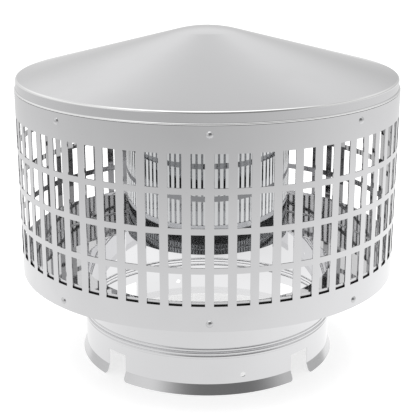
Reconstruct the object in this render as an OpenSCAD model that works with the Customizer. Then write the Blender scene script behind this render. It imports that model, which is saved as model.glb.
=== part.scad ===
// Chimney cap in stainless sheet steel: a perforated drum under a conical lid, round a
// draught tube, on a beaded collar that slides over the end of a twin-wall chimney pipe.
// The origin is the middle of the collar's foot, +Z is up and the front is -Y.

/* [Pipe] */
// Outer diameter of the chimney pipe that the collar slides over
pipe_d = 200; // [192:0.1:208]
// Gap between the pipe and the collar, all round
pipe_gap = 0.4; // [0.2:0.1:1]

/* [Drum] */
// Outer diameter of the perforated drum
drum_d = 301; // [286:1:324]
// Sheet thickness of the drum
drum_t = 0.8; // [0.5:0.1:1.2]
// Plain height between the drum's foot and its lowest row of slots
foot_margin = 19; // [17:0.1:26]
// Plain height between the top row of slots and the drum's top edge
head_margin = 19; // [17:0.1:28]
// Width of the lap where the two ends of the drum's sheet meet at the back
seam_w = 5.7; // [3:0.1:6]

/* [Slots] */
// Number of slots in one row
slot_columns = 60; // [52:4:64]
// Number of rows
slot_rows = 4; // [2:1:5]
// Width of one slot
slot_w = 9.6; // [6:0.1:10.2]
// Height of one slot
slot_h = 23.8; // [15:0.1:30]
// Height of the bar between two rows
row_gap = 4.5; // [3:0.1:8]

/* [Lid] */
// Sheet thickness of the lid
lid_t = 0.8; // [0.5:0.1:1.2]
// Slope of the cone, in degrees from level
cone_slope = 15; // [10:0.5:22]
// Radius of the rounded tip of the cone, measured outside
tip_r = 98; // [40:1:140]
// Radius of the bend between the cone and the skirt, measured outside
rim_r = 1.6; // [1.5:0.1:4]
// Height of the skirt that shows above the drum's top edge
band_h = 9.4; // [7:0.1:16]
// Height of the skirt that stands inside the drum
tuck_h = 15; // [12:0.1:16]
// How far the flat fold that rests on the drum's top edge stands out from the skirt
stop_fold_out = 1.1; // [0.9:0.1:1.5]

/* [Base] */
// Sheet thickness of the base ring
base_t = 0.8; // [0.5:0.1:1.2]
// Height of the base ring's upright wall inside the drum
base_wall_h = 22.1; // [14:0.1:30]
// Radius of the bend at the foot of that wall, measured outside
base_bend_r = 2; // [1.5:0.1:3]
// Depth of the lip that turns down round the top of the collar
lip_h = 8; // [5:0.1:14]

/* [Draught tube] */
// Outer diameter of the tube that hangs in the middle of the drum
tube_d = 130; // [100:1:160]
// Sheet thickness of the tube
tube_t = 0.8; // [0.5:0.1:1.2]
// Height of the tube's foot above the drum's foot
tube_rise = 26.4; // [20:0.1:60]
// Width of the tube's top flange, which lies against the cone
tube_flange_w = 7; // [4:0.1:12]

/* [Collar] */
// Sheet thickness of the collar
collar_t = 0.8; // [0.5:0.1:1.2]
// Height of the collar from its foot to the underside of the base ring
collar_h = 72.8; // [64:0.1:100]
// Height of the flared lip at the collar's foot
flare_h = 8; // [5:0.1:10]
// How far the flared lip stands out from the collar
flare_out = 2.9; // [1:0.1:5]
// Number of tabs, and so of the notches between them
tab_count = 4; // [2:1:8]
// Width of one notch
notch_w = 19.7; // [12:0.1:30]
// Height of one notch
notch_h = 21.4; // [16:0.1:24]
// Radius of the tabs' lower corners
tab_corner_r = 3; // [1:0.1:4]
// Height of the middle of the bead above the collar's foot
bead_z = 33.2; // [31:0.1:50]
// Height of each of the bead's three ribs
rib_h = 2.9; // [2.4:0.1:3.6]
// How far the bead's middle rib stands out from the collar
rib_out = 1.2; // [0.7:0.1:1.2]
// How far the bead's two side ribs stand out from the collar
side_rib_out = 0.7; // [0.3:0.1:0.9]

/* [Fixing screws] */
// Diameter of the hole for a fixing screw in the front and back tabs
screw_hole_d = 4; // [3:0.1:6]
// Height of the screw hole above the collar's foot
screw_hole_z = 14.5; // [13:0.1:18]
// Turn of the screw hole from the middle of its tab, in degrees
screw_hole_turn = 15; // [0:1:25]

/* [Rivets] */
// Number of rivets in the top row and in the bottom row
rivet_count = 8; // [4:4:8]
// Diameter of a rivet's shank
rivet_d = 3; // [2.4:0.1:3.4]
// Diameter of a rivet's head
rivet_head_d = 5.2; // [4.6:0.1:5.8]
// Height of a rivet's domed head
rivet_head_h = 1.5; // [0.8:0.1:1.8]
// Diameter of the bulb that closes a rivet on the inside
rivet_bulb_d = 4.4; // [4:0.1:5]
// Length of that bulb
rivet_bulb_l = 2.6; // [2:0.1:4]
// Gap between a rivet's shank and its hole, all round
rivet_gap = 0.1; // [0.05:0.05:0.3]
// Distance of the top rivets below the drum's top edge
top_rivet_drop = 6.2; // [5:0.1:9]
// Distance of the bottom rivets above the drum's foot
bottom_rivet_rise = 6; // [5:0.1:9]

/* [Hidden] */
// Gap between two sheets of which one slides into the other
slide_gap = 0.3;
// Gap that keeps a flat rivet face clear of the curved sheet it closes on
seat_gap = 0.05;
// Cutters reach this far past what they cut
past = 4;
// Steps of a full circle
$fn = 96;

drum_r = drum_d / 2;
drum_in = drum_r - drum_t;
row_pitch = slot_h + row_gap;
column_pitch = 360 / slot_columns;
drum_h = foot_margin + slot_rows * row_pitch - row_gap + head_margin;
foot_z = collar_h;
seam_z = foot_z + drum_h;
slots_z = foot_z + foot_margin;
top_rivet_z = seam_z - top_rivet_drop;
bottom_rivet_z = foot_z + bottom_rivet_rise;

skirt_r = drum_in - slide_gap;
rim_z = seam_z + band_h;
cone_reach = skirt_r - rim_r + rim_r * sin(cone_slope);
cone_foot_z = rim_z - rim_r + rim_r * cos(cone_slope);
tip_reach = tip_r * sin(cone_slope);
tip_foot_z = cone_foot_z + (cone_reach - tip_reach) * tan(cone_slope);
tip_centre_z = tip_foot_z - tip_r * cos(cone_slope);

base_wall_r = drum_in - slide_gap;
collar_in = pipe_d / 2 + pipe_gap;
collar_r = collar_in + collar_t;
ring_in = collar_in + slide_gap;
lip_in = collar_r + slide_gap;

tube_r = tube_d / 2;
tube_foot_z = foot_z + tube_rise;

lid_grip = drum_r - (skirt_r - lid_t);
base_grip = drum_r - (base_wall_r - base_t);

steel = [0.78, 0.78, 0.79];
bright_steel = [0.84, 0.84, 0.85];
rivet_steel = [0.7, 0.7, 0.72];

top_rivets = [for (i = [1:rivet_count]) str("top_rivet_", i)];
bottom_rivets = [for (i = [1:rivet_count]) str("bottom_rivet_", i)];

// Angle of rivet i; the first is at the front, in the middle.
function rivet_turn(i) = -90 + (i - 1) * 360 / rivet_count;

// Height of the cone's underside at the radius r, between its rim and its tip.
function cone_under_z(r) =
    cone_foot_z + (cone_reach - r) * tan(cone_slope) - lid_t / cos(cone_slope);

// Radius of the arc of a rib of height h that stands out by out.
function rib_r(h, out) = (h * h / 4 + out * out) / (2 * out);

// Lays a shape whose Z axis points outward on the drum's side, at an angle and a height.
module at_side(turn, z, r = 0) {
    rotate([0, 0, turn]) translate([r, 0, z]) rotate([0, 90, 0]) children();
}

// Full discs of the ribs of a bead, in a profile whose wall has the outer radius wall_r.
// Each rib is [height of its middle, its height, how far it stands out]. A rib that is too
// tight for its sheet is pressed solid, so it has no disc at that inset.
module rib_discs(ribs, wall_r, inset = 0) {
    for (rib = ribs) {
        arc_r = rib_r(rib[1], rib[2]);
        if (2 * arc_r > rib[2] + 2 * inset)
            translate([wall_r + rib[2] - arc_r, rib[0]]) circle(r = arc_r - inset);
    }
}

// Profile of a straight wall with ribs pressed outward in its sheet.
module ribbed_wall(wall_r, t, z_low, z_high, ribs) {
    difference() {
        union() {
            translate([wall_r - t, z_low]) square([t, z_high - z_low]);
            intersection() {
                rib_discs(ribs, wall_r);
                translate([wall_r - t, z_low]) square([t + past, z_high - z_low]);
            }
        }
        rib_discs(ribs, wall_r, t);
    }
}

// Filled half profile of the cone with its rounded tip and rim, set in by inset.
module cone_fill(inset) {
    tip_in = tip_r - inset;
    rim_in = rim_r - inset;
    reach = skirt_r - rim_r;
    intersection() {
        union() {
            polygon([
                [0, seam_z],
                [skirt_r - inset, seam_z],
                [skirt_r - inset, rim_z - rim_r],
                [reach, rim_z - rim_r],
                [reach + rim_in * sin(cone_slope), rim_z - rim_r + rim_in * cos(cone_slope)],
                [tip_in * sin(cone_slope), tip_centre_z + tip_in * cos(cone_slope)],
                [0, tip_centre_z + tip_in * cos(cone_slope)]
            ]);
            translate([reach, rim_z - rim_r]) circle(r = rim_in);
            intersection() {
                translate([0, tip_centre_z]) circle(r = tip_in);
                translate([0, tip_centre_z + tip_in * cos(cone_slope)])
                    square([tip_in * sin(cone_slope), tip_in]);
            }
        }
        translate([0, seam_z - past]) square([skirt_r - inset, tip_r]);
    }
}

// The lid is one spun sheet: cone, rim, stop fold and the skirt that goes into the drum.
// The fold is the skirt's own sheet, doubled and pressed flat, so it is two sheets high.
module lid() {
    fold_bend_x = skirt_r + stop_fold_out - lid_t;
    color(steel) difference() {
        rotate_extrude() {
            difference() {
                cone_fill(0);
                cone_fill(lid_t);
                translate([0, seam_z - past]) square([skirt_r + past, past]);
            }
            translate([skirt_r - lid_t, seam_z - tuck_h]) square([lid_t, tuck_h]);
            translate([skirt_r - lid_t, seam_z]) square([stop_fold_out, 2 * lid_t]);
            translate([fold_bend_x, seam_z + lid_t]) circle(r = lid_t);
        }
        rivet_holes(top_rivet_z);
    }
}

// Round holes for one row of rivets.
module rivet_holes(z) {
    for (i = [1:rivet_count])
        at_side(rivet_turn(i), z, drum_in - past)
            cylinder(d = rivet_d + 2 * rivet_gap, h = drum_t + 2 * past);
}

// One column of slots, on the side that faces +X.
module slot_column() {
    for (row = [0:slot_rows - 1])
        translate([drum_in - past, -slot_w / 2, slots_z + row * row_pitch])
            cube([drum_t + 2 * past, slot_w, slot_h]);
}

// The drum is one perforated strip, rolled up and lapped on the bar at the back.
// A bar is at the middle of the front and of the back, so rivets sit in line with it.
module drum() {
    color(bright_steel) difference() {
        union() {
            translate([0, 0, foot_z]) cylinder(r = drum_r, h = drum_h);
            intersection() {
                translate([0, 0, foot_z]) cylinder(r = drum_r + drum_t, h = drum_h);
                translate([-seam_w / 2, 0, foot_z]) cube([seam_w, drum_d, drum_h]);
            }
        }
        translate([0, 0, foot_z - past]) cylinder(r = drum_in, h = drum_h + 2 * past);
        for (column = [0:slot_columns - 1])
            rotate([0, 0, -90 + (column + 0.5) * column_pitch]) slot_column();
        rivet_holes(top_rivet_z);
        rivet_holes(bottom_rivet_z);
    }
}

// The draught tube hangs from the cone, and its flange lies against the cone's underside.
// It keeps the wind that blows in through the slots away from the mouth of the pipe.
module draught_tube() {
    top_in = tube_r - tube_t;
    top_out = tube_r + tube_flange_w;
    flange_drop = tube_t / cos(cone_slope);
    color(steel) rotate_extrude() polygon([
        [top_in, tube_foot_z],
        [tube_r, tube_foot_z],
        [tube_r, cone_under_z(tube_r) - flange_drop],
        [top_out, cone_under_z(top_out) - flange_drop],
        [top_out, cone_under_z(top_out)],
        [top_in, cone_under_z(top_in)]
    ]);
}

// The base ring closes the drum's foot: an upright wall inside the drum, a flat ring
// that rests on the collar's top edge and a lip that turns down round the collar.
module base_ring() {
    color(steel) difference() {
        rotate_extrude() {
            bend_in = base_bend_r - base_t;
            bend_x = base_wall_r - base_bend_r;
            bend_z = foot_z + base_bend_r;
            translate([base_wall_r - base_t, bend_z])
                square([base_t, base_wall_h - base_bend_r]);
            difference() {
                translate([bend_x, bend_z]) circle(r = base_bend_r);
                translate([bend_x, bend_z]) circle(r = bend_in);
                translate([bend_x - past, bend_z]) square([2 * past, past]);
                translate([bend_x - past, bend_z - past]) square([past, 2 * past]);
            }
            translate([ring_in, foot_z]) square([bend_x - ring_in, base_t]);
            translate([lip_in, foot_z - lip_h]) square([base_t, lip_h]);
        }
        rivet_holes(bottom_rivet_z);
    }
}

// Outline of one notch, seen from outside with the collar's foot on the X axis.
// It widens at its foot, which rounds the corners of the tabs beside it.
module notch_outline() {
    translate([-notch_w / 2, -past]) square([notch_w, notch_h + past]);
    for (side = [-1, 1]) {
        difference() {
            translate([side * notch_w / 2 - tab_corner_r, -past])
                square([2 * tab_corner_r, tab_corner_r + past]);
            translate([side * (notch_w / 2 + tab_corner_r), tab_corner_r])
                circle(r = tab_corner_r);
        }
    }
}

// One notch between two tabs, cut straight in from the side that faces +X.
module notch() {
    rotate([90, 0, 90]) linear_extrude(height = collar_r + flare_out + past)
        notch_outline();
}

// The collar slides over the pipe. Its foot is cut into tabs with a flared lip, and a
// bead of three ribs stiffens it above them.
module collar() {
    ribs = [
        [bead_z - rib_h, rib_h, side_rib_out],
        [bead_z, rib_h, rib_out],
        [bead_z + rib_h, rib_h, side_rib_out]
    ];
    color(bright_steel) difference() {
        rotate_extrude() {
            ribbed_wall(collar_r, collar_t, flare_h, collar_h, ribs);
            polygon([
                [collar_in, flare_h],
                [collar_in + flare_out, 0],
                [collar_r + flare_out, 0],
                [collar_r, flare_h]
            ]);
        }
        for (tab = [0:tab_count - 1])
            rotate([0, 0, -90 + (tab + 0.5) * 360 / tab_count]) notch();
        for (turn = [-90, 90])
            at_side(turn + screw_hole_turn, screw_hole_z, collar_in - past)
                cylinder(d = screw_hole_d, h = collar_t + 2 * past);
    }
}

// One rivet: domed head outside, shank through two sheets, bulb inside.
// Its Z axis points outward and its seat, the outside of the sheets, is at z = 0.
module rivet(grip) {
    dome_r = (rivet_head_d * rivet_head_d / 4 + rivet_head_h * rivet_head_h)
        / (2 * rivet_head_h);
    color(rivet_steel) rotate_extrude() {
        intersection() {
            translate([0, rivet_head_h - dome_r]) circle(r = dome_r);
            square([rivet_head_d / 2, rivet_head_h]);
        }
        translate([0, -grip - seat_gap]) square([rivet_d / 2, grip + seat_gap]);
        bulb_r = rivet_bulb_d / 2;
        intersection() {
            union() {
                translate([0, -grip - seat_gap - rivet_bulb_l + bulb_r])
                    square([bulb_r, rivet_bulb_l - bulb_r]);
                translate([0, -grip - seat_gap - rivet_bulb_l + bulb_r]) circle(r = bulb_r);
            }
            translate([0, -grip - seat_gap - rivet_bulb_l]) square([bulb_r, rivet_bulb_l]);
        }
    }
}

// Rivet i of a row; the one at the back also goes through the lap of the drum's seam.
module rivet_in_row(i, z, grip) {
    lap = rivet_turn(i) == 90 ? drum_t : 0;
    at_side(rivet_turn(i), z, drum_r + lap) rivet(grip + lap);
}

lid();
drum();
draught_tube();
base_ring();
collar();
for (i = [1:rivet_count]) {
    rivet_in_row(i, top_rivet_z, lid_grip);
    rivet_in_row(i, bottom_rivet_z, base_grip);
}
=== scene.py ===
# %% [markdown]
# # A stainless chimney cap
# The CAD model already has every sheet, slot, bead and rivet of this cap, so this lesson
# builds no new shapes. It sets up the photograph's camera, a white studio for bright metal
# to mirror, and one procedural finish for each way in which the sheets were worked: spun,
# rolled, pressed and headed. Everything is in metres, in the CAD model's own frame.

import bpy
import math
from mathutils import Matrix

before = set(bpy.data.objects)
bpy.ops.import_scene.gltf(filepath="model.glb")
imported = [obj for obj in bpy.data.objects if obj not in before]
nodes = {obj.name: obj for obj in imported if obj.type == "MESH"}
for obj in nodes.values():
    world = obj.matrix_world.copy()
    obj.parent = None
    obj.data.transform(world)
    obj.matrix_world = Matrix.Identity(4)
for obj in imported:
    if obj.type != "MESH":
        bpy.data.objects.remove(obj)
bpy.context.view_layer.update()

# %% [markdown]
# ## The camera
# The photograph shows a round object, so the camera's place was worked out from round
# things: the ellipses of the rims, the rows of slots and the rivets. The lens is long and
# stands well back, which keeps the drum's two sides almost parallel. The cap's axis lies a
# little to the left of the middle, and a small lens shift does that without turning the
# camera, so upright edges stay upright.

# %% Camera
CAMERA_BACK = 0.8265
CAMERA_UP = 0.3737
CAMERA_TURN = math.radians(0.6)
CAMERA_TILT = math.radians(17.39)
PIXELS = 420
LENS_PIXELS = 1056.5
AXIS_PIXELS_LEFT = 2.75

camera_data = bpy.data.cameras.new("camera")
camera_data.sensor_width = 36
camera_data.lens = 36 * LENS_PIXELS / PIXELS
camera_data.shift_x = AXIS_PIXELS_LEFT / PIXELS
camera_data.clip_start = 0.01
camera = bpy.data.objects.new("camera", camera_data)
bpy.context.scene.collection.objects.link(camera)
camera.location = (
    -CAMERA_BACK * math.sin(CAMERA_TURN),
    -CAMERA_BACK * math.cos(CAMERA_TURN),
    CAMERA_UP,
)
camera.rotation_euler = (math.pi / 2 - CAMERA_TILT, 0, -CAMERA_TURN)
bpy.context.scene.camera = camera
bpy.context.scene.view_settings.view_transform = "Standard"
print("lens", round(camera_data.lens, 2), "mm")

# %% [markdown]
# ## A helper for shader maths
# A material is a graph of nodes, and long sums are hard to read as a graph. The class below
# wraps one output of a node, so that `1 - mask * 0.4` builds the Math nodes by itself. Any
# other node comes from the one method `node`, which sets the node's choices first, because
# they can change its sockets, and then its inputs.


# %% Shader helper
class Signal:
    """One output socket of a shader graph, which takes part in sums."""

    def __init__(self, graph, socket):
        self.graph = graph
        self.socket = socket

    def __add__(self, other):
        return self.graph.sum("ADD", self, other)

    def __radd__(self, other):
        return self.graph.sum("ADD", other, self)

    def __sub__(self, other):
        return self.graph.sum("SUBTRACT", self, other)

    def __rsub__(self, other):
        return self.graph.sum("SUBTRACT", other, self)

    def __mul__(self, other):
        return self.graph.sum("MULTIPLY", self, other)

    def __rmul__(self, other):
        return self.graph.sum("MULTIPLY", other, self)

    def __truediv__(self, other):
        return self.graph.sum("DIVIDE", self, other)

    def __pow__(self, other):
        return self.graph.sum("POWER", self, other)


class Graph:
    """The node graph of a material or of the world."""

    def __init__(self, tree):
        self.tree = tree
        self.tree.nodes.clear()

    def node(self, kind, settings=None, inputs=None, output=0):
        made = self.tree.nodes.new(kind)
        for name, value in (settings or {}).items():
            if name == "stops":
                for stop in value[2:]:
                    made.color_ramp.elements.new(stop[0])
                for element, stop in zip(made.color_ramp.elements, value):
                    element.position, element.color = stop
            else:
                setattr(made, name, value)
        for name, value in (inputs or {}).items():
            if isinstance(value, Signal):
                self.tree.links.new(value.socket, made.inputs[name])
            else:
                made.inputs[name].default_value = value
        return Signal(self, made.outputs[output]) if made.outputs else None

    def sum(self, operation, *parts):
        settings = {"operation": operation}
        return self.node("ShaderNodeMath", settings, dict(enumerate(parts)))


def ramp(graph, value, low, high):
    """0 below low, 1 above high, with soft ends."""
    settings = {"interpolation_type": "SMOOTHSTEP"}
    inputs = {"Value": value, "From Min": low, "From Max": high}
    return graph.node("ShaderNodeMapRange", settings, inputs)


def axes(graph, vector):
    """The X, Y and Z of a vector."""
    split = "ShaderNodeSeparateXYZ"
    return [graph.node(split, inputs={0: vector}, output=axis) for axis in "XYZ"]


print("helper ready")

# %% [markdown]
# ## The studio
# Bright steel has almost no colour of its own. What the eye reads as steel is the room in
# its surface: white where it mirrors the paper below and the lamps above, dark where it
# mirrors the unlit side on which the camera stands. So the world is drawn as a white tent.
# Its back wall has a lighter band, which the front of the cone mirrors, and is a shade
# darker to the right. A soft dark patch hangs behind the camera, a little to its right.
# Rays from the camera itself see plain white.

# %% World
WHITE = (1, 1, 1, 1)
TENT_WALL = 0.7
WALL_BAND = 0.2
RIGHT_SHADE = 0.14
TENT_ROOF = 1.5
DARK_SIDE = 0.2
DARK_HEIGHT = math.radians(24)
DARK_TURN = math.radians(14)


def height(degrees):
    """Z of a ray that climbs by so many degrees."""
    return math.sin(math.radians(degrees))


world = bpy.data.worlds.new("studio")
bpy.context.scene.world = world
world.use_nodes = True
tent = Graph(world.node_tree)
ray_way = tent.node("ShaderNodeTexCoord", output="Generated")
way_right, way_back, way_up = axes(tent, ray_way)
dark_way = (
    math.cos(DARK_HEIGHT) * math.sin(DARK_TURN),
    -math.cos(DARK_HEIGHT) * math.cos(DARK_TURN),
    math.sin(DARK_HEIGHT),
)
to_dark = tent.node(
    "ShaderNodeVectorMath",
    {"operation": "DOT_PRODUCT"},
    {0: ray_way, 1: dark_way},
    output="Value",
)
dark_patch = ramp(tent, to_dark, math.cos(math.radians(62)), math.cos(math.radians(16)))
band = ramp(tent, way_up, height(8), height(28)) * (
    1 - ramp(tent, way_up, height(31), height(44))
)
roof = ramp(tent, way_up, height(46), height(80))
right = ramp(tent, way_right, 0.05, 0.4)
wall_light = TENT_WALL + band * WALL_BAND - right * RIGHT_SHADE
wall_light = wall_light + roof * (TENT_ROOF - TENT_WALL)
tent_light = wall_light * (1 - dark_patch) + dark_patch * DARK_SIDE
seen = tent.node("ShaderNodeLightPath", output="Is Camera Ray")
strength = tent_light * (1 - seen) + seen
paper = tent.node("ShaderNodeBackground", inputs={"Color": WHITE, "Strength": strength})
tent.node("ShaderNodeOutputWorld", inputs={"Surface": paper})
print("tent wall", TENT_WALL, "roof", TENT_ROOF)

# %% [markdown]
# The floor is white paper. A soft lamp hangs over the cap and lights the paper that the
# camera sees, which also glows evenly white. In mirrors the paper shows a painted pool of
# light instead: a glow strongest round the cap, which falls off with distance, most on the
# side of the camera, and rises a little to the right. The drum mirrors that painted fall as
# a gentle gradient from its foot to its top and from its sides to its middle.

# %% Floor and lamp
LAMP_HEIGHT = 1.1
LAMP_SIZE = 1.3
LAMP_WATTS = 12
FLOOR = 6
PAPER_GLOW = 0.7
# Painted pool of light that mirrors see on the paper: its peak glow and its falls.
PAINTED_POOL_PEAK = 1.055
PAINTED_POOL_FALL = 0.283
PAINTED_POOL_FRONT_FALL = 0.361
PAINTED_POOL_RIGHT_GAIN = 0.054

floor_mesh = bpy.data.meshes.new("floor")
floor_mesh.from_pydata(
    [(-FLOOR, -FLOOR, 0), (FLOOR, -FLOOR, 0), (FLOOR, FLOOR, 0), (-FLOOR, FLOOR, 0)],
    [],
    [(0, 1, 2, 3)],
)
floor = bpy.data.objects.new("floor", floor_mesh)
bpy.context.scene.collection.objects.link(floor)
floor.location.z = -0.0002

floor_paint = bpy.data.materials.new("floor_paper")
floor_paint.use_nodes = True
sheet = Graph(floor_paint.node_tree)
paper_shade = sheet.node(
    "ShaderNodeBsdfDiffuse", inputs={"Color": (0.6, 0.6, 0.6, 1)}
)
paper_glow = sheet.node(
    "ShaderNodeEmission", inputs={"Color": WHITE, "Strength": PAPER_GLOW}
)
lit_paper = sheet.node("ShaderNodeAddShader", inputs={0: paper_shade, 1: paper_glow})
floor_place = sheet.node("ShaderNodeTexCoord", output="Object")
floor_x, floor_y, _ = axes(sheet, floor_place)
floor_reach = (floor_x * floor_x + floor_y * floor_y + 0.0001) ** 0.5
# Painted pool of light: in mirrors the paper glows less with distance, less towards the
# camera, and more to the right.
far = ramp(sheet, floor_reach, 0.13, 1.1)
front = ramp(sheet, floor_y / floor_reach * -1, -0.51, 2.19)
mirrored = PAINTED_POOL_PEAK - far * PAINTED_POOL_FALL - front * PAINTED_POOL_FRONT_FALL
mirrored = mirrored + floor_x / floor_reach * PAINTED_POOL_RIGHT_GAIN
painted_pool_glow = sheet.node(
    "ShaderNodeEmission", inputs={"Color": WHITE, "Strength": mirrored}
)
from_camera = sheet.node("ShaderNodeLightPath", output="Is Camera Ray")
from_mirror = sheet.node("ShaderNodeLightPath", output="Is Glossy Ray")
paper_mirrored = sheet.node(
    "ShaderNodeMixShader", inputs={0: from_mirror, 1: paper_shade, 2: painted_pool_glow}
)
paper_seen = sheet.node(
    "ShaderNodeMixShader", inputs={0: from_camera, 1: paper_mirrored, 2: lit_paper}
)
sheet.node("ShaderNodeOutputMaterial", inputs={"Surface": paper_seen})
floor_mesh.materials.append(floor_paint)

lamp_data = bpy.data.lights.new("soft_lamp", "AREA")
lamp_data.shape = "SQUARE"
lamp_data.size = LAMP_SIZE
lamp_data.energy = LAMP_WATTS
lamp = bpy.data.objects.new("soft_lamp", lamp_data)
bpy.context.scene.collection.objects.link(lamp)
lamp.location = (0, 0.1, LAMP_HEIGHT)
lamp.visible_glossy = False
print("lamp", LAMP_WATTS, "W at", LAMP_HEIGHT, "m")

# %% [markdown]
# ## Steel finishes
# All the sheets are the same bright stainless steel, and they differ in how they were
# worked. Rolled sheet keeps a very fine grain along the strip, so on the drum, the tube and
# the collar it runs round the axis. A spun cone and a pressed ring carry rings round their
# middle. On real sheet the grain is finer than a pixel of this picture. It spreads the
# mirrored room a little and leaves faint streaks. Two slow noises add what handling does:
# a mottle in the gloss, and patches where the steel is a shade duller.
#
# The drum's strip has a darker colour on its inside face: painted shade for the inside of
# the drum. The tube mirrors that face, so the slots stand out in the tube as light bars
# between dark ones. The base ring is pressed from duller plate that scatters a little of
# its light. Its wall goes down close behind the drum, and at the foot of each lowest slot
# the photograph shows a black line there. So the wall's outer face is painted black up to
# just above the slots' feet: painted shade for the narrow space behind the drum.
#
# Two places are treated further. The lid's rim and its stop fold get a colour raised near
# white, a painted highlight that shines as two lines. The collar's lip is flared by a
# coarser
# tool: it scatters more, its colour is a shade darker as painted shade for the cap's shadow
# that it mirrors, and it curves out like a bell. The CAD model's lip is a straight cone, so
# the bump node bends the lip's normal instead, as if its foot stood out more.

# %% Steel
GRAIN_PITCH = 0.0007
GRAIN_LENGTH = 0.05
GRAIN_DEPTH = 0.0000012
MOTTLE = 0.025
DRUM_SHEET_MIDDLE = 0.1501
# Painted shade: colour factor of the drum's inside face.
INNER_PAINTED_SHADE = 0.6
BASE_WALL_MIDDLE = 0.149
# Painted shade colour behind the drum's lowest slots.
GAP_PAINTED_SHADE = (0.01, 0.01, 0.01)
# Painted highlight colour of the lid's rim and stop fold.
PAINTED_HIGHLIGHT_COLOUR = (0.99, 0.99, 0.99)
RIM_AND_FOLD = ((0.2273, 0.22885), (0.2194, 0.2211))
RIM_REACH = 0.1478
FLARE_TOP = 0.008
FLARE_BELL = 0.18
FLARE_SATIN = 0.15
FLARE_PAINTED_SHADE = 0.9
FADE = 0.0001


def steel(
    name,
    colour,
    roughness,
    grain_way,
    metal=1.0,
    painted_shade_within=0,
    painted_shade_top=-1,
    flare_top=-1,
    painted_highlight_heights=(),
):
    """Bright sheet steel with its grain round the axis, in rings, or in every way.

    Within the radius painted_shade_within the colour is darkened as painted shade for the
    drum's inside face. The outer face of the base ring's wall is painted black below the
    height painted_shade_top, as painted shade for the narrow space behind the drum. Below
    flare_top the sheet is flared like a bell and scatters more, and its colour is darkened
    as painted shade. Between each pair of heights in painted_highlight_heights the colour
    is raised near white as a painted highlight.
    """
    paint = bpy.data.materials.new(name)
    paint.use_nodes = True
    graph = Graph(paint.node_tree)
    place = graph.node("ShaderNodeTexCoord", output="Object")
    x, y, z = axes(graph, place)
    reach = (x * x + y * y + 0.000001) ** 0.5
    turn = graph.sum("ARCTAN2", y, x)
    along = turn * (0.1 / GRAIN_LENGTH)
    across = {"round": z, "rings": reach, "all": x}[grain_way] / GRAIN_PITCH
    lines = graph.node("ShaderNodeCombineXYZ", inputs={"X": along, "Y": across})
    grain = graph.node(
        "ShaderNodeTexNoise", inputs={"Vector": lines, "Scale": 1.0, "Detail": 4.0}
    )
    streak_lines = graph.node(
        "ShaderNodeCombineXYZ", inputs={"X": along * 0.4, "Y": across * 0.12}
    )
    streak = graph.node(
        "ShaderNodeTexNoise", inputs={"Vector": streak_lines, "Scale": 1.0, "Detail": 3.0}
    )
    cloud = graph.node(
        "ShaderNodeTexNoise", inputs={"Vector": place, "Scale": 16.0, "Detail": 5.0}
    )
    dull = ramp(graph, cloud, 0.45, 0.75)
    # Painted shade: within painted_shade_within the drum's inside face is darkened.
    inside = 1 - ramp(graph, reach, painted_shade_within - 0.0003, painted_shade_within + 0.0003)
    worn = tuple(0.965 * part for part in colour)
    inner_painted_shade = tuple(INNER_PAINTED_SHADE * part for part in colour)
    tint = (*colour, 1)
    # Painted shade: the base wall's outer face is painted black below painted_shade_top.
    low = 1 - ramp(graph, z, painted_shade_top - 0.0003, painted_shade_top + 0.0003)
    painted_gap_shade = low * ramp(graph, reach, BASE_WALL_MIDDLE - 0.0001, BASE_WALL_MIDDLE + 0.0001)
    flare = 1 - ramp(graph, z, flare_top - FADE, flare_top + FADE)
    # Painted shade: the flared lip's colour is darkened for the cap's shadow that it
    # mirrors.
    flare_painted_shade = tuple(FLARE_PAINTED_SHADE * part for part in colour)
    # Painted highlight: between painted_highlight_heights, on the lid's rim, the colour is
    # raised near white.
    bright = 0.0
    for foot, head in painted_highlight_heights:
        above = ramp(graph, z, foot - FADE, foot + FADE)
        bright = bright + above * (1 - ramp(graph, z, head - FADE, head + FADE))
    if painted_highlight_heights:
        bright = bright * ramp(graph, reach, RIM_REACH - FADE, RIM_REACH + FADE)
    for factor, shade in (
        (dull, worn),
        (inside, inner_painted_shade),
        (painted_gap_shade, GAP_PAINTED_SHADE),
        (flare, flare_painted_shade),
        (bright, PAINTED_HIGHLIGHT_COLOUR),
    ):
        tint = graph.node(
            "ShaderNodeMix",
            {"data_type": "RGBA"},
            {"Factor": factor, 6: tint, 7: (*shade, 1)},
            output=2,
        )
    bell = graph.sum("MAXIMUM", flare_top - z, 0.0) * FLARE_BELL
    relief = graph.node(
        "ShaderNodeBump",
        inputs={"Height": grain * GRAIN_DEPTH + bell, "Strength": 1.0, "Distance": 1.0},
    )
    gloss = roughness + dull * MOTTLE + (streak - 0.5) * 0.02 + flare * FLARE_SATIN
    surface = graph.node(
        "ShaderNodeBsdfPrincipled",
        inputs={
            "Base Color": tint,
            "Metallic": metal,
            "Roughness": gloss,
            "Normal": relief,
        },
    )
    graph.node("ShaderNodeOutputMaterial", inputs={"Surface": surface})
    return paint


finishes = {
    "lid": steel(
        "lid_spun_steel", (0.74, 0.74, 0.75), 0.06, "rings", painted_highlight_heights=RIM_AND_FOLD
    ),
    "drum": steel(
        "drum_rolled_steel",
        (0.77, 0.77, 0.78),
        0.025,
        "round",
        painted_shade_within=DRUM_SHEET_MIDDLE,
    ),
    "draught_tube": steel("tube_rolled_steel", (0.76, 0.77, 0.78), 0.02, "round"),
    "base_ring": steel(
        "base_pressed_steel",
        (0.75, 0.75, 0.76),
        0.025,
        "rings",
        metal=0.85,
        painted_shade_top=0.0932,
    ),
    "collar": steel(
        "collar_rolled_steel", (0.79, 0.79, 0.8), 0.025, "round", flare_top=FLARE_TOP
    ),
}
rivet_finish = steel("rivet_headed_steel", (0.7, 0.7, 0.71), 0.035, "all")
for name, piece in nodes.items():
    piece.data.materials.clear()
    piece.data.materials.append(finishes.get(name, rivet_finish))
print(len(finishes) + 1, "finishes")
